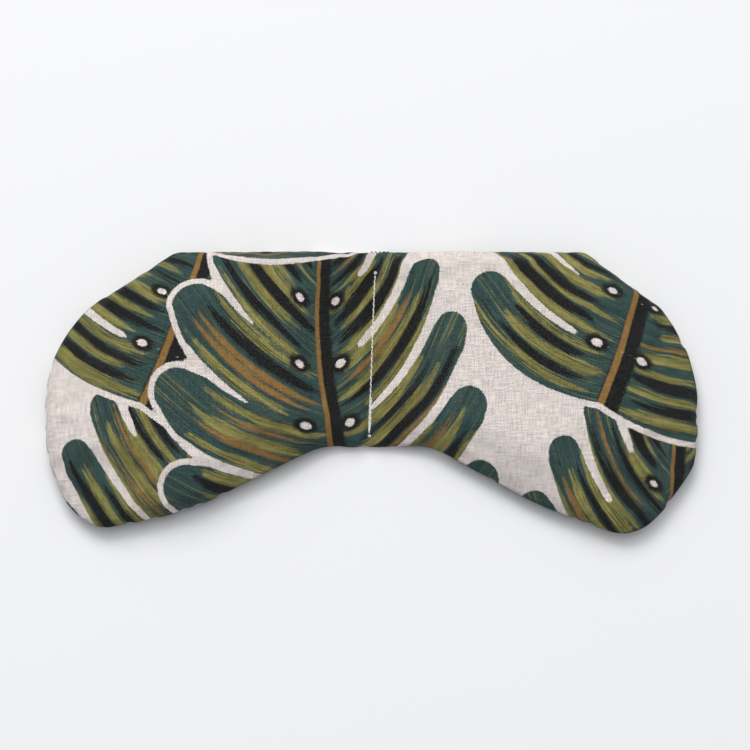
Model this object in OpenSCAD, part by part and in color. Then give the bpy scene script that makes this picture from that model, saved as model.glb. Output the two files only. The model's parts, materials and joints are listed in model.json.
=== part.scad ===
// Two-chamber eye pillow: a flat, seed-filled cloth cushion with two lobes and a nose arch.
// +X runs from lobe to lobe, +Y to the straight top edge, +Z up out of the face.
// The origin is under the middle of the pillow, on the surface that it rests on.
// Each cloth panel is one cut piece, made here as two solids that meet at the stitched fold.

/* [Overall size] */
// Width across both lobes
width = 232; // [200:1:260]
// Height from the top edge to the bottom of the lobes
height = 103; // [95:1:115]
// Thickness of a filled lobe
thickness = 18; // [15:0.5:22]

/* [Cloth] */
// Thickness of the cloth
cloth = 0.35; // [0.3:0.05:0.5]
// Width of the turned-in seam allowance
allowance = 6; // [4:0.5:8]
// Height of the rim seam above the resting surface
seam_z = 6.5; // [5:0.5:8]

/* [Divider] */
// Height of the stitched fold above the resting surface
fold_z = 2.2; // [1.8:0.1:3]
// Sideways lean of the divider stitching, mm in 100 mm of height
fold_lean = 4; // [0:0.5:6]
// Free strip of cloth left on each side of the fold line
fold_clear = 1.25; // [1.2:0.05:2]
// Length of one stitch
stitch = 2; // [1.8:0.1:2.6]
// Diameter of the sewing thread
thread_d = 0.3; // [0.2:0.02:0.34]

/* [Hidden] */

LEFT = -1;
RIGHT = 1;
half_width = width / 2;
half_height = height / 2;
arch_y = -0.377 * half_height;        // top of the nose arch
lean_y = 11;                          // height at which the leaning fold crosses x = 0
print_colour = "#2f5a4a";
seed_colour = "#7a5a34";
thread_colour = "#f1ece0";
seam_colour = "#24302d";

tiny = 0.02;                          // gap between faces that lie together
skin = 1.4 * cloth;                   // the cloth measured level where it slopes
seam_channel = 0.8;                   // room between the two allowances for the seam threads
rim_roll = 7;                         // distance in which the back rolls up from flat to the rim
fold_roll = 14;                       // the same beside the fold
fold_reach = 30;                      // distance over which the fold's form fades into the rim's
channel_reach = 7;                    // distance from the fold at which the seam channel is open
edge_step = 9;                        // longest straight piece of an outline
arc_step = 18;                        // angle of one piece of a rounded corner
tube_sides = 6;
front_steps = [0.4, 0.66, 0.83, 0.93, 0.985];
back_steps = [0, 0.45, 0.8, 0.97];    // parts of the roll from the flat to the rim
fold_fill_gap = 4;                    // from the fold edge to the fill
fill_gap = 0.3;                       // between the fill and the cloth over and under it
fill_shoulder = 2.5;                  // width of the fill's rounding at the top of its wall
fill_foot = 1.5;                      // and at the bottom
seam_inset = 1;                       // from the outline in to the seam threads
closing_pitch = 2.5;
closing_stitches = 5;                 // on each side of the fold
closing_rise = 0.9;                   // of a closing stitch above and below the rim seam
stitch_dip = 0.12;                    // part of its rise that a stitch keeps at the needle hole
stitch_rise = 0.2;                    // of the divider thread over the fold
divider_top = 0.815 * half_height;
divider_bottom = -0.25 * half_height;

// Lobe corners from the arch round to the top edge, as parts of the half sizes,
// each with the radius of its rounding in mm.
right_corners = [
    [0.170, -0.370, 22], [0.505, -0.790, 60], [0.785, -1.025, 14], [0.876, -0.868, 26],
    [0.984, -0.530, 14], [1.006, -0.160, 60], [0.984, 0.270, 45], [0.893, 0.590, 16],
    [0.660, 0.985, 5]
];
left_corners = [
    [0.150, -0.372, 22], [0.560, -0.835, 60], [0.835, -0.965, 12], [0.935, -0.800, 22],
    [1.000, -0.400, 40], [1.002, 0.080, 45], [0.952, 0.400, 40], [0.870, 0.600, 18],
    [0.610, 0.985, 8]
];

function unit(v) = v / norm(v);
function turned(v, a) = [v.x * cos(a) - v.y * sin(a), v.x * sin(a) + v.y * cos(a)];
function smooth(t) = let (u = max(0, min(1, t))) u * u * (3 - 2 * u);
function fold_x(y) = (y - lean_y) * fold_lean / 100;

// The arc that rounds corner b between a and c
function corner_arc(a, b, c, r) =
    let (
        u = unit(a - b),
        v = unit(c - b),
        half = acos(u * v) / 2,
        middle = b + unit(u + v) * r / sin(half),
        start = b + u * r / tan(half) - middle,
        way = cross(b - a, c - b) > 0 ? 1 : -1,
        sweep = 180 - 2 * half,
        pieces = max(1, ceil(sweep / arc_step))
    )
    [for (i = [0 : pieces]) middle + turned(start, way * sweep * i / pieces)];

function subdivided(points) = [
    for (i = [0 : len(points) - 1])
        let (
            a = points[i],
            b = points[(i + 1) % len(points)],
            pieces = ceil(norm(b - a) / edge_step)
        )
        for (k = [0 : pieces - 1]) a + (b - a) * k / pieces
];

// Closed counter-clockwise outline of one half, with its straight fold edge
function half_outline(side) =
    let (
        corners = side == LEFT ? left_corners : right_corners,
        bottom = [fold_x(arch_y) + side * fold_clear, arch_y],
        top = [fold_x(half_height) + side * fold_clear, half_height],
        at = [for (c = corners) [side * c[0] * half_width, c[1] * half_height]],
        path = concat([bottom], at, [top]),
        round_trip = concat(
            [bottom],
            [for (i = [0 : len(at) - 1])
                each corner_arc(path[i], path[i + 1], path[i + 2], corners[i][2])],
            [top]
        ),
        last = len(round_trip) - 1
    )
    subdivided(side == RIGHT ? round_trip : [for (i = [0 : last]) round_trip[last - i]]);

// Middle of a lobe, from which its rings spread
function half_centre(side) = [side * 0.52 * half_width, 0.06 * half_height];

// 1 at the fold edge, 0 from the given distance outward
function foldness(p, reach) = 1 - smooth((abs(p.x - fold_x(p.y)) - fold_clear) / reach);
function seam_height(p) = seam_z + (fold_z - seam_z) * foldness(p, fold_reach);
function half_channel(p) = tiny / 2 + seam_channel / 2 * (1 - foldness(p, channel_reach));

// Height of the front at the part s of the way from the middle to outline point p
function front_height(p, s) =
    let (z = seam_height(p) + half_channel(p) + cloth)
    z + (thickness - z) * pow(1 - s * s, 0.5 + 0.6 * foldness(p, fold_reach));

// The back rolls up from the flat to the outline; k is the part of the roll that is done
function back_roll(p) = rim_roll + (fold_roll - rim_roll) * foldness(p, fold_reach);
function back_height(p, k) =
    (seam_height(p) - half_channel(p) - cloth)
        * (1 - pow(1 - k * k, 0.5 + 0.5 * foldness(p, fold_reach)));

// Points at the part s of the way from the middle to the outline, less an inset for each
function ring(outline, middle, s, insets, z) = [
    for (i = [0 : len(outline) - 1])
        let (p = outline[i], q = middle + (p - middle) * s + unit(middle - p) * insets[i])
        [q.x, q.y, z[i]]
];
function same(outline, value) = [for (p = outline) value];
function flange(outline) = [
    for (p = outline) max(2 * cloth, allowance * (1 - foldness(p, channel_reach)))
];

// Closed solid through rings of equal length, from the first apex to the last
module ringed_solid(first, rings, last) {
    n = len(rings[0]);
    points = concat([first], [for (r = rings) each r], [last]);
    end = len(points) - 1;
    faces = concat(
        [for (i = [0 : n - 1]) [0, 1 + (i + 1) % n, 1 + i]],
        [for (j = [0 : len(rings) - 2], i = [0 : n - 1])
            let (a = 1 + j * n + i, b = 1 + j * n + (i + 1) % n)
            each [[a, b, b + n], [a, b + n, a + n]]],
        [for (i = [0 : n - 1]) [end, end - n + i, end - n + (i + 1) % n]]
    );
    polyhedron(points, faces);
}

// Tube along a path that never runs parallel to the direction across
module tube(path, across) {
    last = len(path) - 1;
    rings = [
        for (i = [0 : last])
            let (
                along = unit(path[min(i + 1, last)] - path[max(i - 1, 0)]),
                out = unit(cross(along, across)),
                up = cross(out, along)
            )
            [for (k = [0 : tube_sides - 1])
                let (a = -k * 360 / tube_sides)
                path[i] + (out * cos(a) + up * sin(a)) * thread_d / 2]
    ];
    ringed_solid(path[0], rings, path[last]);
}

module front_panel(side) {
    o = half_outline(side);
    c = half_centre(side);
    none = same(o, 0);
    seat = [for (p = o) seam_height(p) + half_channel(p)];
    lap = seat + same(o, cloth);
    outer = [for (s = front_steps) ring(o, c, s, none, [for (p = o) front_height(p, s)])];
    edge = [ring(o, c, 1, none, lap), ring(o, c, 1, none, seat)];
    turned_in = [
        ring(o, c, 1, flange(o), seat),
        ring(o, c, 1, flange(o), lap - same(o, tiny)),
        ring(o, c, 1, same(o, skin), lap - same(o, tiny))
    ];
    inner = [for (i = [len(front_steps) - 1 : -1 : 0])
        ring(o, c, front_steps[i], same(o, skin), [for (k = [0 : len(o) - 1])
            max(lap[k] + tiny * (len(front_steps) - i), front_height(o[k], front_steps[i]) - skin)])];
    color(print_colour)
        ringed_solid(
            [c.x, c.y, thickness],
            concat(outer, edge, turned_in, inner),
            [c.x, c.y, thickness - skin]
        );
}

module back_panel(side) {
    o = half_outline(side);
    c = half_centre(side);
    none = same(o, 0);
    seat = [for (p = o) seam_height(p) - half_channel(p)];
    lap = seat - same(o, cloth);
    function rolled(k) = [for (p = o) back_roll(p) * (1 - k)];
    outer = [for (k = back_steps) ring(o, c, 1, rolled(k), [for (p = o) back_height(p, k)])];
    edge = [ring(o, c, 1, none, lap), ring(o, c, 1, none, seat)];
    turned_in = [
        ring(o, c, 1, flange(o), seat),
        ring(o, c, 1, flange(o), lap + same(o, tiny)),
        ring(o, c, 1, same(o, skin), lap + same(o, tiny))
    ];
    inner = [for (i = [len(back_steps) - 1 : -1 : 0])
        ring(o, c, 1, rolled(back_steps[i]) + same(o, skin), [for (k = [0 : len(o) - 1])
            min(lap[k] - tiny * (len(back_steps) - i), back_height(o[k], back_steps[i]) + skin)])];
    color(print_colour)
        mirror([0, 0, 1])
            ringed_solid(
                [c.x, c.y, 0],
                [for (r = concat(outer, edge, turned_in, inner)) [for (p = r) [p.x, p.y, -p.z]]],
                [c.x, c.y, -skin]
            );
}

module fill(side) {
    o = half_outline(side);
    c = half_centre(side);
    each_point = [0 : len(o) - 1];
    wall = [for (w = flange(o)) max(fold_fill_gap, w + 1)];
    gap = skin + fill_gap;
    top = [for (k = each_point) front_height(o[k], 1 - wall[k] / norm(o[k] - c)) - gap];
    bottom = [for (k = each_point) back_height(o[k], max(0, 1 - wall[k] / back_roll(o[k]))) + gap];
    crown = [for (s = [front_steps[0], front_steps[1]])
        ring(o, c, s, same(o, 0), [for (p = o) front_height(p, s) - gap])];
    side_wall = [
        ring(o, c, 1, wall + same(o, fill_shoulder), top - same(o, fill_gap)),
        ring(o, c, 1, wall, (top + bottom) / 2),
        ring(o, c, 1, wall + same(o, fill_foot), bottom)
    ];
    base = ring(o, c, 1, [for (p = o) back_roll(p) + 2 * fill_foot], same(o, gap));
    color(seed_colour)
        ringed_solid([c.x, c.y, thickness - gap], concat(crown, side_wall, [base]), [c.x, c.y, gap]);
}

// One thread of the perimeter seam, level 1 above the middle of the channel and -1 below it
module seam_thread(side, level) {
    o = half_outline(side);
    c = half_centre(side);
    run = [for (p = o) if (abs(p.x - fold_x(p.y)) > fold_clear + channel_reach + 1) p];
    color(seam_colour)
        tube(
            [for (p = run)
                let (q = p + unit(c - p) * seam_inset)
                [q.x, q.y, seam_height(p) + level * (seam_channel / 2 - thread_d / 2 - 0.05)]],
            [0, 0, 1]
        );
}

// Whip stitches that close the filling opening on one side of the fold
module closing_thread(side) {
    y = half_height + thread_d;
    start = fold_x(half_height) + side * (fold_clear + 1.5);
    color(seam_colour)
        tube(
            [for (i = [0 : 2 * closing_stitches])
                let (x = start + side * i * closing_pitch / 2)
                [x, y, seam_height([x, half_height]) + (i % 2 == 0 ? -1 : 1) * closing_rise]],
            [0, 1, 0]
        );
}

// One thread of the divider, level 1 for the needle thread on the front and -1 for the bobbin
module divider_thread(level) {
    stitches = floor((divider_top - divider_bottom) / stitch);
    path = [
        for (i = [0 : stitches - 1])
            let (y = divider_bottom + i * stitch)
            each [[y, stitch_dip], [y + 0.2 * stitch, 1], [y + 0.8 * stitch, 1]],
        [divider_bottom + stitches * stitch, stitch_dip]
    ];
    color(thread_colour)
        tube(
            [for (p = path)
                [fold_x(p[0]), p[0], fold_z + level * (thread_d / 2 + tiny + p[1] * stitch_rise)]],
            [1, 0, 0]
        );
}

module front_panel_left() front_panel(LEFT);
module back_panel_left() back_panel(LEFT);
module fill_left() fill(LEFT);
module seam_needle_thread_left() seam_thread(LEFT, 1);
module seam_bobbin_thread_left() seam_thread(LEFT, -1);
module closing_thread_left() closing_thread(LEFT);
module front_panel_right() front_panel(RIGHT);
module back_panel_right() back_panel(RIGHT);
module fill_right() fill(RIGHT);
module seam_needle_thread_right() seam_thread(RIGHT, 1);
module seam_bobbin_thread_right() seam_thread(RIGHT, -1);
module closing_thread_right() closing_thread(RIGHT);
module divider_needle_thread() divider_thread(1);
module divider_bobbin_thread() divider_thread(-1);

front_panel_left();
back_panel_left();
fill_left();
seam_needle_thread_left();
seam_bobbin_thread_left();
closing_thread_left();
front_panel_right();
back_panel_right();
fill_right();
seam_needle_thread_right();
seam_bobbin_thread_right();
closing_thread_right();
divider_needle_thread();
divider_bobbin_thread();
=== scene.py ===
"""Looks of the two-chamber eye pillow: a printed cloth cover, its sewing threads and its seed fill.

The cover is simulated as cloth. The print follows a rule on the flat cut cloth, in millimetres, and
is carried to the finished form as vertex attributes that the cloth material reads.
"""
import json
import math

import bpy
import numpy as np
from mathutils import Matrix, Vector
from mathutils.geometry import delaunay_2d_cdt


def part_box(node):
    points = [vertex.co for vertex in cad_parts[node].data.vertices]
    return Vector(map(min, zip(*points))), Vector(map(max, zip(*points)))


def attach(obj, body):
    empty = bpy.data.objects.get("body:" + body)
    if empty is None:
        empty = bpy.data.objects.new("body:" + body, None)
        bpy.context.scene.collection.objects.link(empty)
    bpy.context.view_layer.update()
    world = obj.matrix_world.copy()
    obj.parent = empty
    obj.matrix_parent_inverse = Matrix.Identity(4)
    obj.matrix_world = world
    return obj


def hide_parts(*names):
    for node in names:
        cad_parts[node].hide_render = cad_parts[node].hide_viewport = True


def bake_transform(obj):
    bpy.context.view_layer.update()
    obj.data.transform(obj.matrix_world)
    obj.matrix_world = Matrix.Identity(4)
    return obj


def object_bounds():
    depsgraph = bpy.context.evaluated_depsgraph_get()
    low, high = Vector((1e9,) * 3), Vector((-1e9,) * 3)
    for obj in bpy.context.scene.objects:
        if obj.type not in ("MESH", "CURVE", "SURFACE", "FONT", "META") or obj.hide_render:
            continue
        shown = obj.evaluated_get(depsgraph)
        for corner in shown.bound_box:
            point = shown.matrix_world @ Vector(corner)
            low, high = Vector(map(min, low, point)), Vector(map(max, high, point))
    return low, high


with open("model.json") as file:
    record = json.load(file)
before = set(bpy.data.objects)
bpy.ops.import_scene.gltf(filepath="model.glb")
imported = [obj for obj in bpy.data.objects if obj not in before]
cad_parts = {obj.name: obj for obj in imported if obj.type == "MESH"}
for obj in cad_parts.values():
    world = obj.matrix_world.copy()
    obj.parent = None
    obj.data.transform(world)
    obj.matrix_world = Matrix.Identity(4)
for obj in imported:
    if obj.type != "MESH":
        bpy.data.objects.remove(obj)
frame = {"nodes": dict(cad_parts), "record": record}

MM = 0.001
cad_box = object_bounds()

# ---------------------------------------------------------------- sizes from the frame, in mm

fold = next(j for j in frame["record"]["behaviour"]["joints"] if j["name"] == "centre_fold")
FOLD_X, FOLD_Y, FOLD_Z = (value / MM for value in fold["pos_m"])
FOLD_LEAN = fold["axis"][0] / fold["axis"][1]
ACROSS_FOLD = np.array([1.0, -FOLD_LEAN]) / math.hypot(1.0, FOLD_LEAN)

needle_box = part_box("divider_needle_thread")
closing_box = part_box("closing_thread_right")
DIVIDER_BOTTOM, DIVIDER_TOP = needle_box[0][1] / MM, needle_box[1][1] / MM
TOP_EDGE = cad_box[1][1] / MM

STITCH = 1.96            # length of one divider stitch
SEAM_Z = 6.5             # height of the rim seam above the table
FOLD_FADE = 30.0         # distance over which the fold's height fades into the rim's
LAYERS_APART = 0.3       # half the gap between the two cloths at the divider

# ---------------------------------------------------------------- cloth simulation

SIM_STEP = 2.0           # spacing of the simulated mesh, mm
SIM_SCALE = 10.0         # the solver works on a model this many times the real size
SIM_FRAMES = 26
FILL_LITRES = 0.215      # volume that each frame's pressure aims at
RIM_STEP = 0.9 * SIM_STEP    # spacing of the corners along the rim
BIG = 1e6                # stands for a distance beyond everything
CLOTH_SETTINGS = dict(
    quality=6, mass=0.15, tension_stiffness=25, compression_stiffness=8, shear_stiffness=10,
    bending_stiffness=0.02, tension_damping=10, compression_damping=10, air_damping=4,
    use_pressure=True, uniform_pressure_force=0, use_pressure_volume=True,
    target_volume=FILL_LITRES * MM * SIM_SCALE ** 3, pressure_factor=8, vertex_group_mass="pinned",
)


def fold_x(y):
    return FOLD_X + (y - FOLD_Y) * FOLD_LEAN


def from_fold(xy):
    """Signed distance of points from the fold line, mm, positive on the right half."""
    return (xy - np.array([FOLD_X, FOLD_Y])) @ ACROSS_FOLD


def smooth(t):
    """Rises evenly from 0 to 1 while t does, level at both ends."""
    t = np.clip(t, 0, 1)
    return t * t * (3 - 2 * t)


def soft_max(a, b, r):
    """The larger of a and b, with the corner rounded over about r."""
    high, low = np.maximum(a, b), np.minimum(a, b)
    return high + r * np.log1p(np.exp((low - high) / r))


def soft_min(a, b, r):
    """The smaller of a and b, with the corner rounded over about r."""
    return -soft_max(-a, -b, r)


# ---------------------------------------------------------------- plane geometry

def curve(points, steps=6):
    """A smooth line through points, each a row of numbers such as x, y and half width."""
    p = np.array(points, float)
    p = np.vstack([2 * p[0] - p[1], p, 2 * p[-1] - p[-2]])
    rows = []
    for i in range(1, len(p) - 2):
        for t in np.arange(steps) / steps:
            rows.append(0.5 * (
                2 * p[i] + (p[i + 1] - p[i - 1]) * t
                + (2 * p[i - 1] - 5 * p[i] + 4 * p[i + 1] - p[i + 2]) * t ** 2
                + (3 * p[i] - p[i - 1] - 3 * p[i + 1] + p[i + 2]) * t ** 3
            ))
    rows.append(p[-2])
    return np.array(rows)


def resampled(loop, step):
    """Points about one step apart along a closed loop."""
    closed = np.vstack([loop, loop[:1]])
    along = np.concatenate([[0], np.cumsum(np.linalg.norm(np.diff(closed, axis=0), axis=1))])
    at = np.linspace(0, along[-1], int(round(along[-1] / step)), endpoint=False)
    return np.stack([np.interp(at, along, closed[:, k]) for k in range(2)], axis=1)


def rounded(loop, rounds=2):
    """A closed loop with its corners cut, twice by default, which leaves round stretches round."""
    for _ in range(rounds):
        after = np.roll(loop, -1, axis=0)
        loop = np.stack([0.75 * loop + 0.25 * after, 0.25 * loop + 0.75 * after], axis=1).reshape(-1, 2)
    return loop


def inside(points, loop):
    """Whether each point lies within a closed loop, by counting the edges to its right."""
    x, y = points[:, 0], points[:, 1]
    found = np.zeros(len(points), bool)
    for (x1, y1), (x2, y2) in zip(np.roll(loop, 1, axis=0), loop):
        if y1 != y2:
            found ^= ((y1 > y) != (y2 > y)) & (x < (x2 - x1) * (y - y1) / (y2 - y1) + x1)
    return found


def to_loop(points, loop):
    """Distance of points from a closed loop."""
    best = np.full(len(points), BIG)
    for a, b in zip(np.roll(loop, 1, axis=0), loop):
        ab = b - a
        t = np.clip(((points - a) @ ab) / max(ab @ ab, 1e-12), 0, 1)
        best = np.minimum(best, np.linalg.norm(points - a - t[:, None] * ab, axis=1))
    return best


# ---------------------------------------------------------------- the cut cloth

def rim_of(node, start):
    """Rim points of one half away from the fold, read from its CAD panel, turning from start degrees.
    The panel is made of rings round its highest point, so the rim is the farthest point each way."""
    points = np.array([v.co for v in frame["nodes"][node].data.vertices]) / MM
    middle = points[points[:, 2].argmax(), :2]
    out = points[:, :2] - middle
    reach = np.linalg.norm(out, axis=1)
    turn = ((np.degrees(np.arctan2(out[:, 1], out[:, 0])) - start) % 360).round(1)
    farthest = {turn[i]: points[i, :2] for i in np.argsort(reach) if reach[i] > 1}
    rim = np.array([farthest[a] for a in sorted(farthest)])
    return rim[np.abs(from_fold(rim)) > 3]


def finished_outline():
    """Closed outline of the whole pillow at its seam, counter-clockwise."""
    return rounded(np.vstack([rim_of("front_panel_right", -180), rim_of("front_panel_left", 0)]))


def cut_cloth(outline, step):
    """Triangles that fill the outline, with a row of corners on the divider's needle holes."""
    rim = resampled(outline, RIM_STEP)
    holes_y = np.arange(DIVIDER_BOTTOM, DIVIDER_TOP + 0.1, STITCH)
    holes = np.stack([fold_x(holes_y), holes_y], axis=1)
    low, high = outline.min(axis=0) - step, outline.max(axis=0) + step
    rows = np.arange(low[1], high[1], step * math.sqrt(3) / 2)
    grid = np.array([
        (x + (step / 2 if j % 2 else 0), y)
        for j, y in enumerate(rows) for x in np.arange(low[0], high[0], step)
    ])
    grid = grid[inside(grid, rim)]
    grid = grid[to_loop(grid, rim) > 0.65 * step]
    beside = (grid[:, 1] > DIVIDER_BOTTOM - 1) & (grid[:, 1] < DIVIDER_TOP + 1)
    grid = grid[~(beside & (np.abs(from_fold(grid)) < 0.6 * step))]
    points = np.vstack([rim, holes, grid])
    count, first = len(rim), len(rim)
    edges = [(i, (i + 1) % count) for i in range(count)]
    edges += [(first + i, first + i + 1) for i in range(len(holes) - 1)]
    found, _, faces, _, _, _ = delaunay_2d_cdt([Vector(p) for p in points], edges, [], 1, 1e-5)
    flat = np.array([tuple(v) for v in found])
    return flat, [tuple(f) for f in faces], count, range(first, first + len(holes))


def two_layers(flat, faces, rim_count, height):
    """Points and faces of front and back cloths that share their rim, at plus and minus height."""
    count = len(flat)
    under = np.arange(count)
    under[rim_count:] = np.arange(count, 2 * count - rim_count)
    points = np.vstack([np.column_stack([flat, height]), np.column_stack([flat, -height])[rim_count:]])
    back = [tuple(int(under[k]) for k in reversed(f)) for f in faces]
    return points, list(faces) + back, under


def new_mesh(name, points, faces):
    """A new object in the scene, with points in metres."""
    mesh = bpy.data.meshes.new(name)
    mesh.from_pydata([tuple(p) for p in points], [], faces)
    mesh.validate()
    mesh.update()
    piece = bpy.data.objects.new(name, mesh)
    bpy.context.scene.collection.objects.link(piece)
    return piece


def active(piece):
    """Makes one piece the selected and active object, which modifiers are applied on."""
    bpy.context.view_layer.objects.active = piece
    for other in bpy.context.selected_objects:
        other.select_set(False)
    piece.select_set(True)


def corners_of(piece):
    """The places of a piece's vertices, one row each."""
    values = np.empty(len(piece.data.vertices) * 3)
    piece.data.vertices.foreach_get("co", values)
    return values.reshape(-1, 3)


def blown_up(points, faces, pinned):
    """The cover after its two cloths have filled out, in mm, with the pinned corners where they were."""
    piece = new_mesh("cover_cloth", points * MM * SIM_SCALE, faces)
    active(piece)
    group = piece.vertex_groups.new(name="pinned")
    group.add([int(i) for i in pinned], 1.0, "REPLACE")
    cloth = piece.modifiers.new("cloth", "CLOTH")
    for name, value in CLOTH_SETTINGS.items():
        setattr(cloth.settings, name, value)
    cloth.settings.effector_weights.gravity = 0
    cloth.collision_settings.use_collision = False
    cloth.point_cache.frame_start = 1
    cloth.point_cache.frame_end = SIM_FRAMES
    for step in range(1, SIM_FRAMES + 1):
        bpy.context.scene.frame_set(step)
    bpy.ops.object.modifier_apply(modifier=cloth.name)
    bpy.context.scene.frame_set(1)
    result = corners_of(piece) / (MM * SIM_SCALE)
    bpy.data.objects.remove(piece)
    return result


# ---------------------------------------------------------------- the pillow as it lies

PILLOW_TOP = 18.3        # height that the top flattens towards
RIM_FIT = 2.8            # puckers of the seam that are shorter than this stay
RIM_FIT_REACH = 30       # corners each way that the fit to the rim looks at
RIM_FIT_NEAR = 3.0       # being nearer than this to a rim point adds little to its pull
FRONT_SWELL = 1.3        # the front rises more than the back, which the table flattens
WEDGE_FRONT = math.tan(math.radians(29))    # steepest rise from the fold that folding leaves room for
WEDGE_BACK = math.tan(math.radians(23))
TOP_ROUND = 1.6          # rounding where the top levels off
FLAT_ROUND = 0.35        # rounding where the underside meets the table
FOLD_ROUND = (0.12, 0.15, 3.2)   # of the wedge in front: its growth away from the fold, least, most
FOLD_RISE, FOLD_DIP = 1.2, 0.9   # height of the front, and depth of the back, at the fold line


def neighbours_mean(values, weights):
    """Weighted mean round a closed loop, by convolution."""
    reach = len(weights) // 2
    return sum(w * np.roll(values, k - reach, axis=0) for k, w in enumerate(weights)) / weights.sum()


def fitted_to_rim(points, rim, rim_count, step):
    """Moves the form in its plane so that its seam keeps the finished outline but keeps its puckers."""
    off = rim - points[:rim_count, :2]
    spread = RIM_FIT / step
    weights = np.exp(-0.5 * (np.arange(-RIM_FIT_REACH, RIM_FIT_REACH + 1) / spread) ** 2)
    off = neighbours_mean(off, weights)
    shift = np.zeros((len(points), 2))
    total = np.zeros(len(points))
    for k in range(0, rim_count, 3):
        near = 1 / (np.sum((points[:, :2] - points[k, :2]) ** 2, axis=1) + RIM_FIT_NEAR ** 2) ** 1.5
        shift += near[:, None] * off[k]
        total += near
    moved = points.copy()
    moved[:, :2] += shift / total[:, None]
    return moved


def settled(points, front):
    """The symmetric form laid on the table: lifted to seam height, flat underneath, top levelled."""
    away = np.abs(from_fold(points[:, :2]))
    middle = FOLD_Z + (SEAM_Z - FOLD_Z) * smooth(away / FOLD_FADE)
    z = points[:, 2]
    growth, least, most = FOLD_ROUND
    top = soft_min(middle + z * FRONT_SWELL, PILLOW_TOP, TOP_ROUND)
    top = soft_min(top, FOLD_Z + FOLD_RISE + away * WEDGE_FRONT, np.clip(growth * away, least, most))
    low = soft_max(middle + z, 0, FLAT_ROUND)
    low = soft_max(low, FOLD_Z - FOLD_DIP - away * WEDGE_BACK, 0.3)
    laid = points.copy()
    laid[:, 2] = np.where(front, top, low)
    rim = np.abs(z) < 1e-9
    laid[rim, 2] = middle[rim]
    return laid


def finer(points, faces, sharp_corner):
    """One round of Loop subdivision that keeps open edges and rows of sharp corners crisp."""
    faces = np.array(faces)
    pairs = np.sort(faces[:, [0, 1, 1, 2, 2, 0]].reshape(-1, 2), axis=1)
    edges, edge_of, used = np.unique(pairs, axis=0, return_inverse=True, return_counts=True)
    edge_of = edge_of.reshape(-1)
    a, b = edges[:, 0], edges[:, 1]
    sharp = (used == 1) | (sharp_corner[a] & sharp_corner[b])
    across = np.zeros((len(edges), points.shape[1]))
    np.add.at(across, edge_of, points[faces[:, [2, 0, 1]].reshape(-1)])
    halfway = 0.5 * (points[a] + points[b])
    new = np.where(sharp[:, None], halfway, 0.75 * halfway + 0.125 * across)

    around, valence = np.zeros_like(points), np.zeros(len(points))
    along, crease = np.zeros_like(points), np.zeros(len(points))
    for one, other in ((a, b), (b, a)):
        np.add.at(around, one, points[other])
        np.add.at(valence, one, 1)
        np.add.at(along, one[sharp], points[other[sharp]])
        np.add.at(crease, one[sharp], 1)
    kept = 0.625 * points + 0.375 * around / valence[:, None]
    on_crease = crease == 2
    kept[on_crease] = 0.75 * points[on_crease] + 0.125 * along[on_crease]

    mid = len(points) + edge_of.reshape(-1, 3)
    p, q, r = faces.T
    pq, qr, rp = mid.T
    smaller = np.concatenate([
        np.stack(three, axis=1) for three in ((p, pq, rp), (q, qr, pq), (r, rp, qr), (pq, qr, rp))
    ])
    return np.vstack([kept, new]), smaller


def open_loop(faces):
    """The corners along the open edge of a sheet, in order."""
    heads = np.array(faces)
    pairs = {(int(i), int(j)) for f in heads for i, j in zip(f, np.roll(f, -1))}
    after = {i: j for i, j in pairs if (j, i) not in pairs}
    loop = [min(after)]
    while after[loop[-1]] != loop[0]:
        loop.append(after[loop[-1]])
    return np.array(loop)


# ---------------------------------------------------------------- seams

TURNED_IN = 3.6          # width of seam allowance kept inside the cover
GROOVE = 0.5             # depth that the seam sits back from the rim
RIM_APART = 0.32         # half the gap between the two cloths at the rim
LIP = (-2.5, 8.5)        # span of the hand-closed gap along the top edge
LIP_PROUD = 0.8          # how far it stands out
LIP_FADE = 0.3           # share of its length over which it rises, at each end
ALLOWANCE = ((GROOVE, 0.1), (TURNED_IN, 0.35))   # depth from the rim, half the gap between the cloths


def inward_of(loop_points):
    """Unit directions to the left of a closed loop, which is inward where it runs counter-clockwise."""
    ahead = np.roll(loop_points, -3, axis=0) - np.roll(loop_points, 3, axis=0)
    left = np.stack([-ahead[:, 1], ahead[:, 0]], axis=1)
    return left / np.linalg.norm(left, axis=1)[:, None]


def lip_bump(x, y):
    """How far the hand-closed stretch stands out at each rim point."""
    t = (x - LIP[0]) / (LIP[1] - LIP[0])
    swell = smooth(t / LIP_FADE) * smooth((1 - t) / LIP_FADE)
    return np.where(y > 0, LIP_PROUD * swell * (0.85 + 0.15 * np.sin(x * 3.1)), 0.0)


def with_seam(points, faces, side):
    """Adds the turned-in allowance to a sheet. side is 1 for the front cloth and -1 for the back."""
    loop = open_loop(faces)
    rim = points[loop].copy()
    inward = inward_of(rim[:, :2]) * side
    bump = lip_bump(rim[:, 0], rim[:, 1])
    rim[:, :2] -= inward * bump[:, None]
    rim[:, 2] += bump * 0.9 * (side > 0)
    points = points.copy()
    points[loop] = rim
    points[loop, 2] += side * RIM_APART
    rows, strips, last = [points], [], loop
    for depth, gap in ALLOWANCE:
        row = rim.copy()
        row[:, :2] += inward * depth
        row[:, 2] += side * gap
        first = sum(len(r) for r in rows)
        new = first + np.arange(len(loop))
        for i in range(len(loop)):
            j = (i + 1) % len(loop)
            strips += [(last[j], last[i], new[i]), (last[j], new[i], new[j])]
        rows.append(row)
        last = new
    return np.vstack(rows), np.vstack([faces, np.array(strips)])


# ---------------------------------------------------------------- making the cover

START_HEIGHT = 3.0       # half height of the form that the simulation inflates


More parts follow.
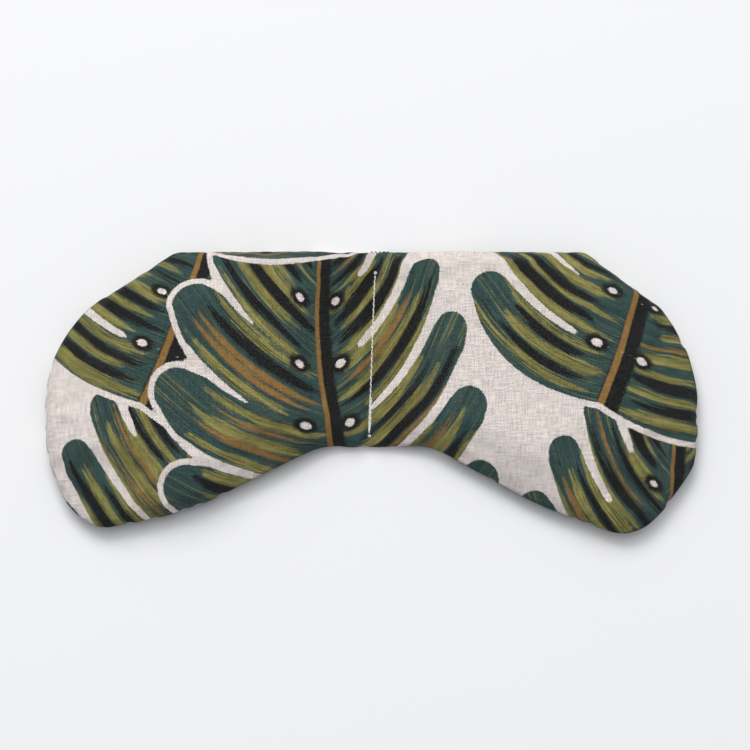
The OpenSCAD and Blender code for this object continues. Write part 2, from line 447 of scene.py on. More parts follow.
def cover_form(flat, faces, rim_count, holes):
    """Front and back sheets, each as points (x, y, z, cut x, cut y) and faces."""
    edge = to_loop(flat, flat[:rim_count])
    height = np.minimum(START_HEIGHT, 0.6 * edge)
    height[holes] = LAYERS_APART
    height[:rim_count] = 0
    points, both, under = two_layers(flat, faces, rim_count, height)
    points = blown_up(points, both, list(holes) + list(under[holes]))
    points = fitted_to_rim(points, flat[:rim_count], rim_count, RIM_STEP)
    sharp = np.zeros(len(flat), bool)
    sharp[holes] = True
    sheets = []
    for side, index in ((1, np.arange(len(flat))), (-1, under)):
        laid = settled(points[index], side > 0)
        order = faces if side > 0 else [tuple(reversed(f)) for f in faces]
        fine, small = finer(np.column_stack([laid, flat]), order, sharp)
        sheets.append(with_seam(fine, small, side))
    return sheets


flat_points, flat_faces, flat_rim, hole_row = cut_cloth(finished_outline(), SIM_STEP)
holes = np.array(list(hole_row))
sheets = cover_form(flat_points, flat_faces, flat_rim, holes)

# ---------------------------------------------------------------- the leaf print
# Split leaves drawn by rule, in mm on the cut cloth: a half-drop repeat of one leaf, leaning left
# and right in turn, with the painting of each lobe drawn from a seeded generator.

PRINT_SEED = 23
COLUMNS_APART, LEAVES_APART = 80.0, 124.0    # spacing of the repeat
FIRST_LEAF = (-154.0, -196.0)                # foot of the first leaf
LEAF_COLUMNS, LEAF_ROWS = 4, 3
LEAF_LENGTH = 132.0
LEAF_LEAN = 24.0         # degrees from upright
LEAF_BEND = -30.0        # degrees that the rib turns over its length, away from its lean
LOBES = 7                # on each side of the rib
LOBE_LENGTH = 61.0
LOBE_OUT = (104.0, 34.0)     # degrees between rib and lobe, at the foot and at the tip of the leaf
LOBE_TURN = 44.0         # degrees that a lobe bends towards the tip
LOBE_TIP = (1, 1, 1, 0.98, 0.90, 0.74, 0.50)     # share of its full width along a lobe
SLIT_START = (0.20, 0.62)    # shares of the lobe's length where a slit may start
SLIT_HALF = (0.4, 2.1)   # half width of a slit at its start and at the leaf's edge
HOLE_OUT = 8.5           # distance from the rib to the holes between lobes
HOLE_HALF = (2.2, 1.4)   # half length and half width of the largest hole
HOLE_SIZE = (0.6, 1)     # least and most size of a hole, as a share of the largest
HOLE_RING = 1.5          # width of the dark ring round a hole
TIP_HALVES = (9, 8, 6, 2)    # half widths along the lobe at the leaf's tip
LEAN_STRAY = 6           # degrees that a leaf may lean more or less than its turn
NEW_LOBE = 40.0          # sets the brush strokes of neighbouring lobes apart in their noise
HALO = 2.0               # ground left round a leaf that lies over another
RIB_HALF = (1.25, 0.5)   # at the foot and at the tip
SHADE_HALF = (4.2, 1.6)
SHADE_BESIDE = 2.4       # the shade lies this far beside the rib
PAINTS = ("olive", "dark", "olive", "dark", "olive")     # stripes of paint across a lobe
STRIPES_SPAN = 1.7       # share of the lobe's half width that the stripes are spread over
STRIPE_STRAY = 0.07      # how far a stripe may lie beside its even place
STRIPE_HALF = (0.11, 0.25)   # least and most half width, as a share of the lobe's half width
STRIPE_START, STRIPE_END = (0, 0.22), (0.78, 1.0)    # shares of the lobe's length
RUST_SHARE = 0.12        # share of the stripes painted rust instead, and narrower
FRONT_CUT = (6.0, -4.0)  # where each cloth is cut from the print
BACK_CUT = (41.0, 52.0)
FIELD = 6.0              # distances from an ink's edge are kept up to this


def along_line(xy, line):
    """For every point: how far it lies inside a line of changing half width, with the distance
    along the line, the signed distance beside it (positive on its left) and the line's length.
    Points far from the line are left at its start, far outside it."""
    rows = curve(line, 3)
    cover, place, beside = np.full(len(xy), -BIG), np.zeros(len(xy)), np.zeros(len(xy))
    reach = rows[:, 2].max() + FIELD
    low, high = rows[:, :2].min(axis=0) - reach, rows[:, :2].max(axis=0) + reach
    near = np.flatnonzero(np.all((xy > low) & (xy < high), axis=1))
    spot, best = xy[near], np.full(len(near), -BIG)
    start = 0.0
    for a, b in zip(rows[:-1], rows[1:]):
        size = math.hypot(*(b[:2] - a[:2]))
        step = (b[:2] - a[:2]) / size
        rel = spot - a[:2]
        t = np.clip(rel @ step, 0, size)
        gap = np.linalg.norm(rel - t[:, None] * step, axis=1)
        inside_by = a[2] + (b[2] - a[2]) * t / size - gap
        better = inside_by > best
        best[better] = inside_by[better]
        place[near[better]] = start + t[better]
        beside[near[better]] = (step[0] * rel[:, 1] - step[1] * rel[:, 0])[better]
        start += size
    cover[near] = best
    return cover, place, beside, start


def turning(start, heading, turn, length, parts=6):
    """Points along a path that sets off from start and turns steadily. Angles are in degrees."""
    angles = np.radians(heading + turn * (np.arange(parts) + 0.5) / parts)
    steps = np.stack([np.cos(angles), np.sin(angles)], axis=1) * length / parts
    return np.concatenate([[start], start + np.cumsum(steps, axis=0)])


def between(pair, part):
    """The value at a part of the way, from 0 to 1, between the two of a pair."""
    return pair[0] + (pair[1] - pair[0]) * part


def widened(path, halves):
    """Rows of x, y and half width, as along_line takes them."""
    return np.column_stack([path, halves])


class Leaf:
    """One split leaf, growing from its foot along a bending rib."""

    def __init__(self, foot, lean, rng):
        self.heading, self.bend = 90 - lean, LEAF_BEND * np.sign(-lean)
        self.path = turning(np.array(foot, float), self.heading, self.bend, LEAF_LENGTH)
        share = np.linspace(0, 1, len(self.path))
        self.rib = widened(self.path, between(RIB_HALF, share))
        aside = np.array([self.side_step(part) for part in share]) * SHADE_BESIDE
        self.shade = widened(self.path - aside, between(SHADE_HALF, share))
        self.lobes, self.slits, self.holes = [], [], []
        for side in (-1, 1):
            edges = [self.vein(side, i / LOBES) for i in range(LOBES + 1)]
            for i, (low, high) in enumerate(zip(edges[:-1], edges[1:])):
                half = np.linalg.norm(high - low, axis=1) / 2 * np.array(LOBE_TIP)
                self.lobes.append((widened((low + high) / 2, half), self.stripes(rng)))
            for i, edge in enumerate(edges[1:-1], 1):
                start = rng.uniform(*SLIT_START) * (len(edge) - 1)
                first = math.ceil(start)
                begin = edge[first - 1] + (edge[first] - edge[first - 1]) * (start - first + 1)
                slit = np.vstack([begin, edge[first:], 2 * edge[-1] - edge[-2]])
                self.slits.append(widened(slit, between(SLIT_HALF, np.linspace(0, 1, len(slit)) ** 0.6)))
                self.holes.append((self.hole_place(edge), edge[1] - edge[0], rng.uniform(*HOLE_SIZE)))
        tip = turning(self.path[-2], self.heading + self.bend, 0, LEAF_LENGTH / 4, 3)
        self.lobes.append((widened(tip, TIP_HALVES), self.stripes(rng)))

    def side_step(self, part):
        """The direction to the left of the rib at this part of its length."""
        turned = math.radians(self.heading + self.bend * part + 90)
        return np.array([math.cos(turned), math.sin(turned)])

    def vein(self, side, part):
        """The middle line of a lobe, or of the slit beside it, from this part of the rib."""
        at = part * (len(self.path) - 1)
        start = np.array([np.interp(at, range(len(self.path)), self.path[:, k]) for k in (0, 1)])
        heading = self.heading + self.bend * part + side * between(LOBE_OUT, part)
        reach = LOBE_LENGTH * math.sin(math.pi * (0.28 + 0.62 * part))
        return turning(start, heading, -side * LOBE_TURN, reach)

    def hole_place(self, edge):
        """Where the hole lies along the line between two lobes."""
        out = edge[1] - edge[0]
        return edge[0] + out / np.linalg.norm(out) * HOLE_OUT

    def stripes(self, rng):
        """Stripes of paint along a lobe, as (ink, place across from -1 to 1, half width, from, to)."""
        made = []
        for i, ink in enumerate(PAINTS):
            even = (i + 0.5) / len(PAINTS) * STRIPES_SPAN - STRIPES_SPAN / 2
            place = even + rng.uniform(-STRIPE_STRAY, STRIPE_STRAY)
            half, begin, end = (rng.uniform(*span) for span in (STRIPE_HALF, STRIPE_START, STRIPE_END))
            if rng.random() < RUST_SHARE:
                ink, half = "rust", half / 2
            made.append((ink, place, half, begin, end))
        return made

    def painted(self, xy):
        """For points of the cloth: mm inside the leaf, mm inside each ink, and (along, across, lobe)."""
        inks = {name: np.full(len(xy), -BIG) for name in ("dark", "olive", "rust")}
        cover, flow = np.full(len(xy), -BIG), np.zeros((len(xy), 3))
        for number, (line, stripes) in enumerate(self.lobes):
            inside_by, along, beside, length = along_line(xy, line)
            here = inside_by > cover
            cover[here] = inside_by[here]
            flow[here] = np.stack([along, beside, np.full(len(xy), NEW_LOBE * number)], axis=1)[here]
            half = line[:-2, 2].mean()
            part, across = along / length, beside / half
            mine = {name: np.full(len(xy), -BIG) for name in inks}
            for ink, middle, wide, begin, end in stripes:
                t = np.clip((part - begin) / (end - begin), 0, 1)
                taper = np.sqrt(4 * t * (1 - t)) * 1.25 - 0.25
                value = half * (wide * taper - np.abs(across - middle))
                mine[ink] = np.maximum(mine[ink], value)
            for name in inks:
                inks[name][here] = mine[name][here]
        slit = np.max([along_line(xy, line)[0] for line in self.slits], axis=0)
        hole = np.max([self.hole_cover(xy, *hole) for hole in self.holes], axis=0)
        cover = np.minimum(cover, -np.maximum(slit, hole))
        inks["rib"] = along_line(xy, self.rib)[0]
        inks["shade"] = np.maximum(along_line(xy, self.shade)[0], hole + HOLE_RING)
        return cover, inks, flow

    @staticmethod
    def hole_cover(xy, place, out, size):
        """How far points lie inside an oval hole that points outward from the rib."""
        out = out / np.linalg.norm(out)
        rel = xy - place
        u, v = rel @ out, rel @ np.array([-out[1], out[0]])
        return (1 - np.hypot(u / (HOLE_HALF[0] * size), v / (HOLE_HALF[1] * size))) * HOLE_HALF[1] * size


def all_leaves():
    """Every leaf of the repeat, in the order they are painted."""
    rng = np.random.default_rng(PRINT_SEED)
    leaves = []
    for row in range(LEAF_ROWS):
        for column in range(LEAF_COLUMNS):
            drop = LEAVES_APART / 2 * (column % 2)
            foot = (FIRST_LEAF[0] + COLUMNS_APART * column, FIRST_LEAF[1] + LEAVES_APART * row + drop)
            lean = LEAF_LEAN * (1 if column % 2 else -1) + rng.uniform(-LEAN_STRAY, LEAN_STRAY)
            leaves.append(Leaf(foot, lean, rng))
    return leaves


def drawing(xy, leaves):
    """The print at points of the cut cloth: how far inside each ink the point lies in mm, and the
    direction of the brush strokes as (along, across, lobe)."""
    found = {name: np.full(len(xy), -FIELD) for name in ("dark", "olive", "rust", "rib", "shade")}
    ground, flow = np.full(len(xy), FIELD), np.zeros((len(xy), 3))
    for leaf in leaves:
        middle = leaf.path[len(leaf.path) // 2]
        near = np.flatnonzero(np.linalg.norm(xy - middle, axis=1) < LEAF_LENGTH)
        if not len(near):
            continue
        cover, inks, strokes = leaf.painted(xy[near])
        ground[near] = np.maximum(np.minimum(ground[near], -cover), np.minimum(-cover, cover + HALO))
        own = cover > -HALO / 2
        for name, values in inks.items():
            found[name][near[own]] = values[own]
        flow[near[own]] = strokes[own]
    found = {name: np.clip(values, -FIELD, FIELD) for name, values in {"ground": ground, **found}.items()}
    return {**found, "flow": flow}


def put(mesh, name, values):
    """Stores numbers or (x, y, z) rows on the vertices of a mesh."""
    values = np.asarray(values, float)
    kind, field = ("FLOAT", "value") if values.ndim == 1 else ("FLOAT_VECTOR", "vector")
    mesh.attributes.new(name, kind, "POINT").data.foreach_set(field, values.reshape(-1))


# ---------------------------------------------------------------- materials

class Nodes:
    """Short calls for building one material's nodes. Each returns a socket, and add returns a node."""

    def __init__(self, name):
        self.material = bpy.data.materials.new(name)
        self.material.use_nodes = True
        self.tree = self.material.node_tree
        self.shader = self.tree.nodes["Principled BSDF"]

    def add(self, kind, settings=(), **inputs):
        made = self.tree.nodes.new(kind)
        for name, value in dict(settings).items():
            setattr(made, name, value)
        for name, value in inputs.items():
            self.set(made, name.replace("_", " "), value)
        return made

    def set(self, made, name, value):
        socket = made.inputs[int(name)] if name.isdigit() else made.inputs[name]
        if isinstance(value, bpy.types.NodeSocket):
            self.tree.links.new(value, socket)
        else:
            socket.default_value = value

    def attribute(self, name, output="Fac"):
        return self.add("ShaderNodeAttribute", {"attribute_name": name}).outputs[output]

    def math(self, operation, a, b=0.0, c=0.0):
        made = self.add("ShaderNodeMath", {"operation": operation})
        for i, value in enumerate((a, b, c)):
            self.set(made, str(i), value)
        return made.outputs[0]

    def step(self, value, low, high):
        """Rises smoothly from 0 at low to 1 at high."""
        made = self.add("ShaderNodeMapRange", {"interpolation_type": "SMOOTHSTEP"})
        for name, x in (("Value", value), ("From Min", low), ("From Max", high)):
            self.set(made, name, x)
        return made.outputs[0]

    def scaled(self, vector, by):
        made = self.add("ShaderNodeMapping", Scale=by)
        self.set(made, "Vector", vector)
        return made.outputs[0]

    def noise(self, vector, scale=1.0, detail=2.0):
        made = self.add("ShaderNodeTexNoise", Scale=scale, Detail=detail)
        self.set(made, "Vector", vector)
        return made.outputs["Fac"]

    def mix(self, amount, a, b, blend="MIX"):
        made = self.add("ShaderNodeMix", {"data_type": "RGBA", "blend_type": blend})
        for name, value in (("0", amount), ("6", a), ("7", b)):
            self.set(made, name, value)
        return made.outputs[2]

    def bumped(self, height, strength, distance):
        made = self.add("ShaderNodeBump", Strength=strength, Distance=distance, Height=height)
        self.set(self.shader, "Normal", made.outputs[0])


def colour(r, g, b):
    """An opaque colour, in linear light."""
    return (r, g, b, 1.0)


YARN = 0.50              # pitch of the plain weave, mm
INK_WORN = 0.065         # share of the ground that shows through the ink at the tops of yarns
RAGGED = 0.8             # how far the yarns break up the edge of an ink, mm
BROAD_STROKE, FINE_STROKE = 5.2, 2.6     # how far brush strokes move the edge of an ink, mm
BROAD_BRUSH = (0.045, 0.95, 1.0)         # strokes per mm along and across a lobe
FINE_BRUSH = (0.11, 2.3, 1.0)
TONE_BRUSH = (0.02, 0.5, 1.0)
DRY_OLIVE, DRY_OLIVE_SHARE = (0.04, 1.3, 2.0), 0.55     # dry streaks over the teal, and their strength
DRY_DARK, DRY_DARK_SHARE = (0.05, 1.7, 1.0), 0.60
YARN_RUN = 0.22          # how fast the shade of a yarn changes along it, per mm
WEAVE_RELIEF = 0.14 * MM
GROUND = colour(0.66, 0.595, 0.555)
OLIVE = colour(0.145, 0.132, 0.036)
OLIVE_LIGHT = colour(0.255, 0.235, 0.075)
FLECK = colour(0.21, 0.15, 0.12)
TEAL_DEEP = colour(0.022, 0.050, 0.050)
TEAL = colour(0.036, 0.078, 0.066)
DARK = colour(0.0072, 0.0082, 0.0080)
RUST = colour(0.235, 0.130, 0.036)


def cloth_material():
    """Plain weave with the print's inks laid over each other, the ground cloth left bare last."""
    n = Nodes("printed_linen")
    cut = n.attribute("cut", "Vector")
    flow = n.attribute("flow", "Vector")
    split = n.add("ShaderNodeSeparateXYZ", Vector=cut)
    across = n.math("SINE", n.math("MULTIPLY", split.outputs[0], math.pi / YARN))
    up = n.math("SINE", n.math("MULTIPLY", split.outputs[1], math.pi / YARN))

    wobble = n.math("SUBTRACT", n.noise(cut, 0.55, 3.0), 0.5)
    ragged = n.math("MULTIPLY", n.math("SUBTRACT", n.noise(cut, 2.2, 1.0), 0.5), RAGGED)
    brush = n.math("SUBTRACT", n.noise(n.scaled(flow, BROAD_BRUSH), 1.0, 3.0), 0.5)
    fine_brush = n.math("SUBTRACT", n.noise(n.scaled(flow, FINE_BRUSH), 1.0, 2.0), 0.5)
    broad, fine = n.math("MULTIPLY", brush, BROAD_STROKE), n.math("MULTIPLY", fine_brush, FINE_STROKE)
    strokes = n.math("ADD", broad, fine)

    def ink(name, wobbling, edge, stroked=0.0):
        """1 inside an ink and 0 outside, with its edge moved by the wobble, the yarns and the brush."""
        uneven = n.math("ADD", n.math("MULTIPLY", wobble, wobbling), ragged)
        value = n.math("ADD", n.attribute(name), uneven)
        if stroked:
            value = n.math("ADD", value, n.math("MULTIPLY", strokes, stroked))
        return n.step(value, -edge, edge)

    tone = n.noise(n.scaled(flow, TONE_BRUSH), 1.0, 2.0)
    teal = n.mix(n.step(tone, 0.3, 0.75), TEAL_DEEP, TEAL)
    streaked = n.math("ADD", tone, n.math("MULTIPLY", fine_brush, 1.1))
    olive = n.mix(n.step(streaked, 0.30, 0.74), OLIVE, OLIVE_LIGHT)
    dry_olive = n.step(n.noise(n.scaled(flow, DRY_OLIVE), 1.0, 2.0), 0.57, 0.68)
    dry_dark = n.step(n.noise(n.scaled(flow, DRY_DARK), 1.0, 2.0), 0.55, 0.68)
    face = n.mix(n.math("MULTIPLY", dry_olive, DRY_OLIVE_SHARE), teal, olive)
    face = n.mix(ink("olive", 0.5, 0.45, 1.0), face, olive)
    face = n.mix(n.math("MULTIPLY", dry_dark, DRY_DARK_SHARE), face, DARK)
    face = n.mix(ink("dark", 0.6, 0.55, 0.75), face, DARK)
    face = n.mix(ink("rust", 0.5, 0.6, 0.45), face, RUST)
    face = n.mix(ink("shade", 1.6, 0.75, 0.12), face, DARK)
    face = n.mix(ink("rib", 0.35, 0.3), face, RUST)
    weave = n.math("MULTIPLY", across, up)
    bare = n.step(n.math("ADD", n.noise(cut, 2.3, 2.0), n.math("MULTIPLY", weave, 0.10)), 0.50, 0.74)
    face = n.mix(n.math("MULTIPLY", bare, INK_WORN), face, GROUND)
    fleck = n.step(n.noise(n.scaled(cut, (1.3, 0.9, 0.0)), 1.0, 1.0), 0.735, 0.79)
    face = n.mix(ink("ground", 0.5, 0.18), face, n.mix(fleck, GROUND, FLECK))

    warp = n.noise(n.scaled(cut, (1 / YARN, YARN_RUN, 0.0)), 1.0, 2.0)
    weft = n.noise(n.scaled(cut, (YARN_RUN, 1 / YARN, 0.0)), 1.0, 2.0)
    grain = n.noise(cut, 2.4, 2.0)
    slub = n.step(n.noise(n.scaled(cut, (1.6, 0.5, 0.0)), 1.0, 1.0), 0.66, 0.78)
    yarns = n.math("MULTIPLY", n.math("ADD", n.math("ADD", warp, weft), grain), 0.88)
    # Yarn tone varies at random and slubs are darker. The weave term lightens and darkens the checks of the
    # plain weave, which is painted light and shade of its relief.
    shade = n.math("ADD", n.math("SUBTRACT", yarns, 0.30), n.math("MULTIPLY", weave, 0.20))
    shade = n.math("SUBTRACT", shade, n.math("MULTIPLY", slub, 0.12))
    yarn_tone_and_weave_shade = n.add("ShaderNodeCombineColor", Red=shade, Green=shade, Blue=shade)
    n.set(n.shader, "Base Color", n.mix(1.0, face, yarn_tone_and_weave_shade.outputs[0], "MULTIPLY"))
    n.set(n.shader, "Roughness", n.math("ADD", 0.82, n.math("MULTIPLY", weave, 0.08)))
    n.set(n.shader, "Sheen Weight", 0.03)
    n.set(n.shader, "Sheen Roughness", 0.5)
    n.set(n.shader, "Specular IOR Level", 0.12)
    height = n.math("ADD", n.math("MULTIPLY", weave, 0.5), n.math("ADD", warp, weft))
    n.bumped(height, 0.55, WEAVE_RELIEF)
    return n.material


PLY_TURN = 9.0           # radians that the plies of a thread turn in each mm
PLY_GROOVE_SHADE = 0.72           # brightness of the painted shade in the groove between the plies


def thread_material(name, tone):
    """Twisted two-ply thread. The stripes follow the attribute twist, which is mm along the thread. The
    darker stripes are painted shade in the grooves between the plies.
    """
    n = Nodes(name)
    twist = n.attribute("twist", "Vector")
    split = n.add("ShaderNodeSeparateXYZ", Vector=twist)
    turn = n.math("ADD", n.math("MULTIPLY", split.outputs[0], PLY_TURN), split.outputs[1])
    ply = n.math("SINE", turn)
    fibre = n.noise(n.scaled(twist, (6.0, 0.8, 1.0)), 1.0, 2.0)
    # The thread's colour darkened between the plies: painted shade in the grooves.
    ply_groove_shade = tuple(c * PLY_GROOVE_SHADE for c in tone[:3]) + (1.0,)
    n.set(n.shader, "Base Color", n.mix(n.step(n.math("ADD", ply, fibre), -0.4, 0.9), ply_groove_shade, tone))
    n.set(n.shader, "Roughness", n.math("ADD", 0.45, n.math("MULTIPLY", fibre, 0.2)))
    n.set(n.shader, "Sheen Weight", 0.2)
    n.bumped(ply, 0.5, 0.05 * MM)
    return n.material


SEED_TONE_AND_EDGE_SHADE = colour(0.17, 0.075, 0.03), colour(0.05, 0.022, 0.010)


def seed_material():
    """Glossy brown seeds, one to each cell, each darker towards the edge of its cell: painted shade between
    the seeds, mixed with random tone.
    """
    n = Nodes("flax_seed")
    where = n.add("ShaderNodeTexCoord").outputs["Object"]
    cells = n.add("ShaderNodeTexVoronoi", {"feature": "F1"}, Scale=420.0, Vector=where)
    tone = n.noise(where, 300.0, 2.0)
    # Darker towards the edge of each cell: painted shade where the seeds meet, mixed with random tone.
    dark = n.step(n.math("ADD", cells.outputs["Distance"], tone), 0.4, 1.2)
    n.set(n.shader, "Base Color", n.mix(dark, *SEED_TONE_AND_EDGE_SHADE))
    n.set(n.shader, "Roughness", n.math("ADD", 0.3, n.math("MULTIPLY", tone, 0.3)))
    n.bumped(cells.outputs["Distance"], 0.8, 0.6 * MM)
    return n.material


linen = cloth_material()
white_thread = thread_material("white_thread", colour(0.90, 0.89, 0.86))
dark_thread = thread_material("dark_thread", colour(0.020, 0.035, 0.032))
seeds = seed_material()

# ---------------------------------------------------------------- the cover's two cloths

VISIBLE_CLOTH = 0.3      # thickness of the cloth, mm


def across_fold(piece):
    """Bakes the placement of a piece that spans both halves into its mesh."""
    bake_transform(piece)


leaves = all_leaves()


def panel(name, sheet, side, nodes):
    """One cloth of the cover with its print. side is 1 for the front and -1 for the back."""
    points, small = sheet
    piece = new_mesh(name, points[:, :3] * MM, small.tolist())
    cut = points[:, 3:5]
    drawn = cut * np.array([side, 1]) + np.array(FRONT_CUT if side > 0 else BACK_CUT)
    for key, values in drawing(drawn, leaves).items():
        put(piece.data, key, values)
    put(piece.data, "cut", np.column_stack([drawn, np.zeros(len(cut))]))
    piece.data.materials.append(linen)
    piece.data.shade_smooth()
    active(piece)
    solid = piece.modifiers.new("thickness", "SOLIDIFY")
    solid.thickness = VISIBLE_CLOTH * MM
    solid.offset = -1
    bpy.ops.object.modifier_apply(modifier=solid.name)
    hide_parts(*nodes)
    across_fold(piece)
    return piece


panel("cover_front", sheets[0], 1, ("front_panel_left", "front_panel_right"))
panel("cover_back", sheets[1], -1, ("back_panel_left", "back_panel_right"))

# ---------------------------------------------------------------- threads

THREAD = 0.48            # thickness of the divider's thread, mm
RIM_THREAD = 0.26
SIDES = 8                # of a thread's cross-section
UP = np.array([0.13, 0.21, 0.97])    # near upright, and never along a thread
BACK_TACK = (-13.2, -2.2)    # stretch of the divider sewn twice to fasten the thread


def tube(name, path, width, material, closed=False):
    """A thread along a path in mm, with the attribute twist for its material."""
    path = np.array(path, float)
    ahead = np.roll(path, -1, axis=0) - np.roll(path, 1, axis=0)
    if not closed:
        ahead[0], ahead[-1] = path[1] - path[0], path[-1] - path[-2]
    ahead /= np.linalg.norm(ahead, axis=1)[:, None]
    aside = np.cross(ahead, UP)
    aside /= np.linalg.norm(aside, axis=1)[:, None]
    above = np.cross(aside, ahead)
    along = np.concatenate([[0], np.cumsum(np.linalg.norm(np.diff(path, axis=0), axis=1))])
    turn = np.arange(SIDES) * 2 * math.pi / SIDES
    ring = 0.5 * width * (
        aside[:, None] * np.cos(turn)[None, :, None] + above[:, None] * np.sin(turn)[None, :, None]
    )
    points = (path[:, None] + ring).reshape(-1, 3)
    count = len(path)
    faces = []
    for i in range(count if closed else count - 1):
        j = (i + 1) % count
        for k in range(SIDES):
            m = (k + 1) % SIDES
            faces.append((i * SIDES + k, i * SIDES + m, j * SIDES + m, j * SIDES + k))
    if not closed:
        faces.append(tuple(range(SIDES - 1, -1, -1)))
        faces.append(tuple((count - 1) * SIDES + k for k in range(SIDES)))
    piece = new_mesh(name, points * MM, faces)
    twist = np.stack([np.repeat(along, SIDES), np.tile(turn, count), np.zeros(count * SIDES)], axis=1)
    put(piece.data, "twist", twist)
    piece.data.materials.append(material)
    piece.data.shade_smooth()
    return piece


def threads_done(piece, slot, *nodes):
    """Puts a finished thread in the place of its CAD nodes."""
    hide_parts(*nodes)
    across_fold(piece)


STITCH_ARC = (           # how a stitch rises: part of its length, height over the cloth
    (0.0, -2.8), (0.14, -1.6), (0.22, 0.3), (0.34, 1.0), (0.5, 1.2), (0.66, 1.0), (0.78, 0.3), (0.86, -1.6),
)
STITCH_SLANT = 0.15      # each stitch lies this much askew, mm


def stitched(spots, side, lift):
    """A path that dips into each spot and lies on the cloth between them, bulging by lift."""
    path = []
    for a, b in zip(spots[:-1], spots[1:]):
        for t, up in STITCH_ARC:
            slant = STITCH_SLANT * math.sin((t - 0.5) * math.pi)
            path.append(a + (b - a) * t + np.array([slant, 0, side * up * lift]))
    path.append(spots[-1] + np.array([0, 0, -2.6 * side * lift]))
    return path


KNOT = 0.42              # radius of the knot at each end of the divider's thread
KNOT_STEP, KNOT_TURN = 70, 630       # degrees between its points, and wound in all
FIRST_KNOT, LAST_KNOT = np.array([0, 0.7, 0]), np.array([0.2, -0.9, 0])     # from the end holes
STITCH_LIFT = (0.75, 0.95, 1.0)      # bulge of each layer of stitches, as a share of the thread
OVER_ASIDE, OVER_ALONG = 0.8, 0.3    # shift of the second layer, in threads and in stitches


def knot(at, side):
    """A small round knot on the cloth, as points of the thread's path."""
    turns = np.radians(np.arange(0, KNOT_TURN, KNOT_STEP))
    rise = 0.35 + 0.18 * np.sin(turns * 1.3)
    return list(at + np.column_stack([KNOT * np.cos(turns), KNOT * np.sin(turns), side * rise]))


def divider_thread(name, side, node):
    """The divider's straight stitches on one face, with some near the lower end sewn over again."""
    points = (sheets[0] if side > 0 else sheets[1])[0]
    spots = points[holes, :3]
    spots = spots[np.argsort(-spots[:, 1])]
    first, second, third = (THREAD * lift for lift in STITCH_LIFT)
    path = knot(spots[0] + FIRST_KNOT, side) + stitched(spots, side, first)
    over = spots[(spots[:, 1] > BACK_TACK[0]) & (spots[:, 1] < BACK_TACK[1])][::-1].copy()
    over[:, 0] += THREAD * OVER_ASIDE
    over[:, 1] += STITCH * OVER_ALONG
    path += stitched(over, side, second) + stitched(over[::-1] - np.array([THREAD, 0, 0]), side, third)
    path += knot(spots[-1] + LAST_KNOT, side)
    piece = tube(name, path, THREAD, white_thread)
    threads_done(piece, "divider_thread", node)


divider_thread("divider_stitches_front", 1, "divider_needle_thread")
divider_thread("divider_stitches_back", -1, "divider_bobbin_thread")


RIM_STITCH_STEP = 0.5    # spacing of the points along the rim's thread
RIM_STITCH_OUT = 2.4     # the rim's stitches lie this far out from the inner edge of the allowance


def rim_thread(name, side, nodes):
    """The machine stitches that hold the two allowances together just inside the rim."""
    points, small = sheets[0]
    loop = open_loop(small)
    rim = points[loop, :3].copy()
    ordered = resampled(rim[:, :2], RIM_STITCH_STEP)
    nearest = [int(np.argmin(np.sum((rim[:, :2] - p) ** 2, axis=1))) for p in ordered]
    inward = inward_of(ordered)
    # The edge may run either way round, so the sign comes from which side the middle is on.
    flipped = np.sign(np.median(np.sum(inward * -ordered, axis=1)))
    ordered = ordered - inward * flipped * RIM_STITCH_OUT
    wave = np.sin(np.arange(len(ordered)) * math.pi / 2 + math.pi / 4)
    height = rim[nearest, 2] - 0.35 + side * (0.14 + 0.1 * wave)
    piece = tube(name, np.column_stack([ordered, height]), RIM_THREAD, dark_thread, closed=True)
    threads_done(piece, "seam_thread", *nodes)


rim_thread("rim_stitches_needle", 1, ("seam_needle_thread_left", "seam_needle_thread_right"))
rim_thread("rim_stitches_bobbin", -1, ("seam_bobbin_thread_left", "seam_bobbin_thread_right"))


CLOSING_STEP = 1.5       # spacing of the closing stitches
CLOSING_HALF = (0.8, 0.95)   # half depth and half height of one
CLOSING_IN = (0.55, 0.45)    # its middle lies this far behind the edge and below it


def closing_thread():
    """Slanted hand stitches that whip the two folded edges together at the top."""
    points = sheets[0][0][:, :3]
    x, y = points[:, 0], points[:, 1]
    near_top = points[(y > TOP_EDGE - 4) & (x > LIP[0] - 1) & (x < LIP[1] + 1)]
    path = []
    for x in np.arange(LIP[0] + 0.8, LIP[1] - 0.8, CLOSING_STEP):
        column = near_top[np.abs(near_top[:, 0] - x) < 1.0]
        edge = column[column[:, 1].argmax()]
        back, down = edge[1] - CLOSING_IN[0], edge[2] - CLOSING_IN[1]
        for turn in np.arange(0, 360, 45):
            c, s = math.cos(math.radians(turn)), math.sin(math.radians(turn))
            along = x + CLOSING_STEP * turn / 360
            path.append((along, back + CLOSING_HALF[0] * c, down + CLOSING_HALF[1] * s))
    piece = tube("closing_stitches", path, RIM_THREAD, dark_thread)
    threads_done(piece, "seam_thread", "closing_thread_left", "closing_thread_right")


closing_thread()

# ---------------------------------------------------------------- the seed fill

FILL_GAP = 0.9           # room between the seeds and the cover, mm
SEED_BUMP = 0.35         # height of the bumps on the heap of seeds
FILL_FROM_FOLD = 5.0     # the seeds keep this far from the fold
FILL_FROM_SEAM = 1.2     # and this far from the turned-in allowance


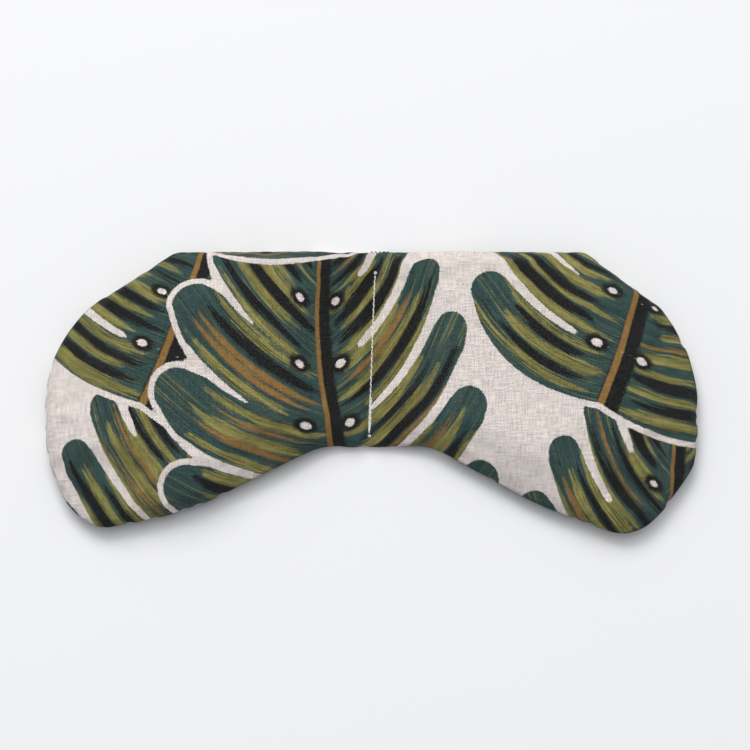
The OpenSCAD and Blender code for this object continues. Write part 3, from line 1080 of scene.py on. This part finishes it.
def fill(name, half, node, body):
    """The seeds of one half as one lumpy body that follows the inside of the cover."""
    front, back = sheets[0][0], sheets[1][0]
    flat, edge = flat_points, to_loop(flat_points, flat_points[:flat_rim])
    keep = (from_fold(flat) * half > FILL_FROM_FOLD) & (edge > TURNED_IN + FILL_FROM_SEAM)
    faces = [f for f in flat_faces if all(keep[list(f)])]
    used = sorted({i for f in faces for i in f})
    new = {old: k for k, old in enumerate(used)}
    top, low = front[used, :3].copy(), back[used, :3].copy()
    x, y = flat[used].T
    bump = SEED_BUMP * np.sin(x * 2.1 + np.sin(y * 1.7)) * np.sin(y * 2.3)
    middle = 0.5 * (top[:, 2] + low[:, 2])
    top[:, 2] = np.maximum(top[:, 2] - FILL_GAP - SEED_BUMP + bump, middle + 0.2)
    low[:, 2] = np.minimum(low[:, 2] + FILL_GAP - 0.2 + bump * 0.3, middle - 0.2)
    size = len(used)
    upper = [tuple(new[i] for i in f) for f in faces]
    lower = [tuple(new[i] + size for i in reversed(f)) for f in faces]
    loop = open_loop(upper)
    wall = []
    for i, j in zip(loop, np.roll(loop, -1)):
        wall += [(int(j), int(i), int(i) + size), (int(j), int(i) + size, int(j) + size)]
    piece = new_mesh(name, np.vstack([top, low]) * MM, upper + lower + wall)
    piece.data.materials.append(seeds)
    piece.data.shade_smooth()
    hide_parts(node)
    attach(piece, body)


fill("seeds_left", -1, "fill_left", "left_half")
fill("seeds_right", 1, "fill_right", "right_half")

# ---------------------------------------------------------------- floor, light and camera

CAMERA_RISE = 79.0       # degrees above the table
CAMERA_AWAY = 0.90
LOOK_AT = Vector((0.0011, 0.0060, 0.0065))
LENS = 121.0
FLOOR = 3.0              # half size of the floor, m


def floor():
    """The plain pale surface that the pillow lies on."""
    corners = np.array([(-1, -1, 0), (1, -1, 0), (1, 1, 0), (-1, 1, 0)]) * FLOOR
    piece = new_mesh("table_top", corners, [(0, 1, 2, 3)])
    n = Nodes("white_paper")
    n.set(n.shader, "Base Color", colour(0.86, 0.86, 0.865))
    n.set(n.shader, "Specular IOR Level", 0.1)
    where = n.add("ShaderNodeTexCoord").outputs["Object"]
    n.set(n.shader, "Roughness", n.math("ADD", 0.8, n.math("MULTIPLY", n.noise(where, 900.0), 0.1)))
    piece.data.materials.append(n.material)


def aimed(name, data, place, target):
    """A lamp or camera at a place, turned to face a target."""
    made = bpy.data.objects.new(name, data)
    bpy.context.scene.collection.objects.link(made)
    made.location = place
    made.rotation_euler = (Vector(target) - Vector(place)).to_track_quat("-Z", "Y").to_euler()
    return made


def area_light(name, place, size, power, tint):
    """A round lamp that faces the pillow, with its place and size in metres and its power in watts."""
    data = bpy.data.lights.new(name, "AREA")
    data.shape = "DISK"
    data.size = size
    data.energy = power
    data.color = tint
    aimed(name, data, place, (0, 0, 0))


floor()
area_light("window", (-0.5, 1.5, 1.9), 1.5, 29.5, (1.0, 0.985, 0.96))
area_light("ceiling", (-0.1, 0.7, 2.3), 2.2, 24.5, (1.0, 1.0, 0.99))

world = bpy.data.worlds.new("room")
world.use_nodes = True
backdrop = world.node_tree.nodes["Background"]
backdrop.inputs["Color"].default_value = colour(0.90, 0.93, 1.0)
backdrop.inputs["Strength"].default_value = 0.40
bpy.context.scene.world = world
bpy.context.scene.view_settings.view_transform = "Standard"

camera_data = bpy.data.cameras.new("camera")
camera_data.lens = LENS
rise = math.radians(CAMERA_RISE)
camera_place = LOOK_AT + CAMERA_AWAY * Vector((0, -math.cos(rise), math.sin(rise)))
bpy.context.scene.camera = aimed("camera", camera_data, camera_place, LOOK_AT)
